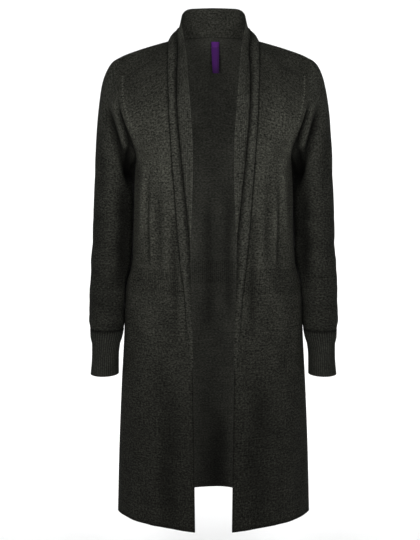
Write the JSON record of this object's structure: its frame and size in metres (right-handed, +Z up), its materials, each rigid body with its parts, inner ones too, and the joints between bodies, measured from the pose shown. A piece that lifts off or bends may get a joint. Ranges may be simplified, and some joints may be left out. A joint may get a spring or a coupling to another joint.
{
  "type": "duster cardigan",
  "caption": "Long open-front knitted cardigan with rolled shawl collar, set-in sleeves and ribbed cuffs, filled out as worn.",
  "frame": {"origin": "on the garment's middle line inside the neck, level with the shoulder seams' inner ends, where the wearer's shoulders hold it up", "axes": "+X to the wearer's left, +Y to the back, so the front faces -Y, and +Z up"},
  "size_m": [0.4836, 0.2525, 0.9943],
  "materials": {
    "knit": "matte knitted yarn",
    "rib": "matte knitted yarn",
    "collar_knit": "matte knitted yarn",
    "roll_knit": "matte knitted yarn",
    "label": "smooth woven ribbon",
    "tab": "smooth woven ribbon"
  },
  "bodies": {
    "root": {"back": "knit", "front_left": "knit", "front_right": "knit", "sleeve_left": "knit", "sleeve_right": "knit", "cuff_left": "rib", "cuff_right": "rib", "collar": "collar_knit", "lapel_left": "collar_knit", "lapel_right": "collar_knit", "collar_roll_left": "roll_knit", "collar_roll_right": "roll_knit", "neck_label": "label", "size_tab": "tab"}
  },
  "joints": []
}
